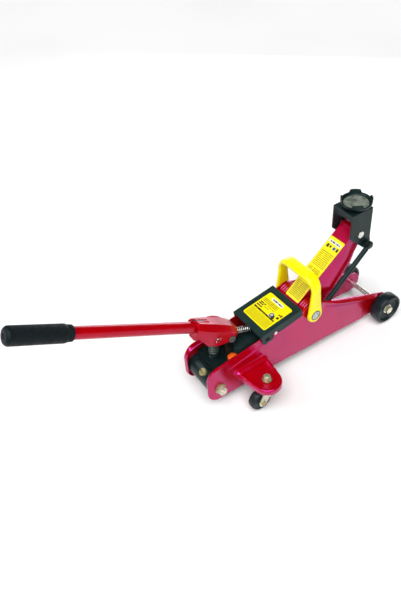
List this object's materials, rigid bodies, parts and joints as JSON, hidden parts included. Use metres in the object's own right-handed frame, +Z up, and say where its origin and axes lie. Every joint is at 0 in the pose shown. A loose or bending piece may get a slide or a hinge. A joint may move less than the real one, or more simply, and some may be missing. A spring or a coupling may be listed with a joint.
{
  "type": "hydraulic trolley jack",
  "caption": "Low wheeled hydraulic jack with a lift arm, swivelling saddle, pump handle, carry handle and rear casters.",
  "frame": {"origin": "on the floor, under the middle of the overall length and width", "axes": "+X forward from the handle to the front wheels, +Y the jack's left, +Z up"},
  "size_m": [0.8182, 0.252, 0.3865],
  "materials": {
    "red_paint": "gloss enamel",
    "red_spring": "gloss enamel",
    "black_paint": "semi-gloss enamel",
    "cover_black": "satin enamel",
    "yellow_plastic": "moulded gloss",
    "yellow_label": "printed vinyl",
    "black_rubber": "matte ribbed",
    "orange_plug": "matte",
    "wheel_black": "satin moulded",
    "caster_black": "satin",
    "yellow_zinc": "yellow zinc plate",
    "zinc": "bright zinc plate",
    "chrome": "polished",
    "steel": "machined",
    "spring_steel": "oiled wire",
    "brass": "dull"
  },
  "bodies": {
    "frame": {"side_plate_left": "red_paint", "side_plate_right": "red_paint", "caster_mount_left": "red_paint", "caster_mount_right": "red_paint", "front_axle": "zinc", "axle_collars": "zinc", "axle_washers": "zinc", "axle_nuts": "yellow_zinc", "rear_bolts": "yellow_zinc", "rear_washers": "yellow_zinc", "caster_bolts": "yellow_zinc", "caster_nuts": "yellow_zinc", "caster_washers": "yellow_zinc", "caster_races": "zinc", "pump_block": "black_paint", "reservoir_tube": "black_paint", "pressure_cylinder": "steel", "gland_nut": "black_paint", "filler_plug": "orange_plug", "pump_sleeve": "steel", "plunger_spring": "spring_steel", "handle_bracket": "black_paint", "return_spring": "spring_steel", "cover_plate": "cover_black", "cover_label": "yellow_label", "cover_screws": "zinc", "arm_shaft": "zinc", "shaft_caps": "chrome", "torsion_spring_left": "red_spring", "torsion_spring_right": "red_spring", "link_stud": "zinc"},
    "front_wheel_left_body": {"front_wheel_left": "wheel_black"},
    "front_wheel_right_body": {"front_wheel_right": "wheel_black"},
    "caster_left": {"caster_fork_left": "yellow_zinc", "caster_rivet_left": "zinc"},
    "caster_right": {"caster_fork_right": "yellow_zinc", "caster_rivet_right": "zinc"},
    "caster_wheel_left_body": {"caster_wheel_left": "caster_black"},
    "caster_wheel_right_body": {"caster_wheel_right": "caster_black"},
    "ram_assembly": {"ram": "chrome", "ram_yoke": "steel"},
    "arm": {"lift_arm": "red_paint", "arm_label": "yellow_label", "tail_pin": "zinc", "bracket_bushes": "steel"},
    "bracket": {"saddle_bracket": "black_paint", "bracket_pin": "zinc", "link_pin": "black_paint"},
    "saddle_body": {"saddle": "black_paint", "saddle_screw": "zinc"},
    "link": {"link_rod": "black_paint"},
    "carry": {"carry_handle": "yellow_plastic"},
    "valve": {"valve_screw": "brass"},
    "plunger": {"pump_plunger": "chrome"},
    "socket": {"handle_socket": "red_paint", "drive_pin": "zinc", "drive_roller": "zinc", "socket_pivot_pin": "zinc"},
    "handle": {"handle_tube": "red_paint", "handle_grip": "black_rubber"}
  },
  "joints": [
    {"name": "lift", "type": "hinge", "parent": "frame", "child": "arm", "pos_m": [0.17284, 0, 0.122], "axis": [0, -1, 0], "range_deg": [-55, 8.5], "deforming": ["torsion_spring_left", "torsion_spring_right"]},
    {"name": "bracket_level", "type": "hinge", "parent": "arm", "child": "bracket", "pos_m": [0.30668, 0, 0.24681], "axis": [0, -1, 0], "range_deg": [-9, 55.5]},
    {"name": "link_swing", "type": "hinge", "parent": "frame", "child": "link", "pos_m": [0.19184, -0.0357, 0.092], "axis": [0, -1, 0], "range_deg": [-55.5, 9]},
    {"name": "ram_stroke", "type": "slide", "parent": "frame", "child": "ram_assembly", "axis": [1, 0, 0], "range_m": [-0.0415, 0.0065]},
    {"name": "saddle_turn", "type": "hinge", "parent": "bracket", "child": "saddle_body", "pos_m": [0.31268, 0, 0.30781], "axis": [0, 0, 1], "continuous": true},
    {"name": "handle_pump", "type": "hinge", "parent": "frame", "child": "socket", "pos_m": [-0.01316, 0, 0.143], "axis": [0, 1, 0], "range_deg": [-12, 28], "deforming": ["return_spring", "plunger_spring"]},
    {"name": "plunger_stroke", "type": "slide", "parent": "frame", "child": "plunger", "axis": [0, 0, 1], "range_m": [-0.0061, 0.0139]},
    {"name": "handle_pull", "type": "slide", "parent": "socket", "child": "handle", "axis": [-0.8755, 0, 0.4833], "range_m": [0, 0.045]},
    {"name": "valve_turn", "type": "hinge", "parent": "frame", "child": "valve", "pos_m": [-0.05916, -0.008, 0.052], "axis": [-0.6018, 0, 0.7986], "range_deg": [0, 360]},
    {"name": "carry_swing", "type": "hinge", "parent": "frame", "child": "carry", "pos_m": [0.17284, 0, 0.122], "axis": [0, 1, 0], "range_deg": [-68, 14]},
    {"name": "front_wheel_left_spin", "type": "hinge", "parent": "frame", "child": "front_wheel_left_body", "pos_m": [0.37484, 0.06, 0.035], "axis": [0, 1, 0], "continuous": true},
    {"name": "front_wheel_right_spin", "type": "hinge", "parent": "frame", "child": "front_wheel_right_body", "pos_m": [0.37484, -0.06, 0.035], "axis": [0, 1, 0], "continuous": true},
    {"name": "caster_left_swivel", "type": "hinge", "parent": "frame", "child": "caster_left", "pos_m": [0.01684, 0.096, 0.06], "axis": [0, 0, 1], "continuous": true},
    {"name": "caster_right_swivel", "type": "hinge", "parent": "frame", "child": "caster_right", "pos_m": [0.01684, -0.096, 0.06], "axis": [0, 0, 1], "continuous": true},
    {"name": "caster_wheel_left_spin", "type": "hinge", "parent": "caster_left", "child": "caster_wheel_left_body", "pos_m": [-0.00216, 0.096, 0.023], "axis": [0, 1, 0], "continuous": true},
    {"name": "caster_wheel_right_spin", "type": "hinge", "parent": "caster_right", "child": "caster_wheel_right_body", "pos_m": [-0.00216, -0.096, 0.023], "axis": [0, 1, 0], "continuous": true}
  ],
  "couplings": [
    {"joint": "bracket_level", "follows": "lift", "ratio": -1},
    {"joint": "link_swing", "follows": "lift", "ratio": 1},
    {"joint": "ram_stroke", "follows": "lift", "m_per_rad": 0.0405},
    {"joint": "plunger_stroke", "follows": "handle_pump", "m_per_rad": 0.0279}
  ]
}
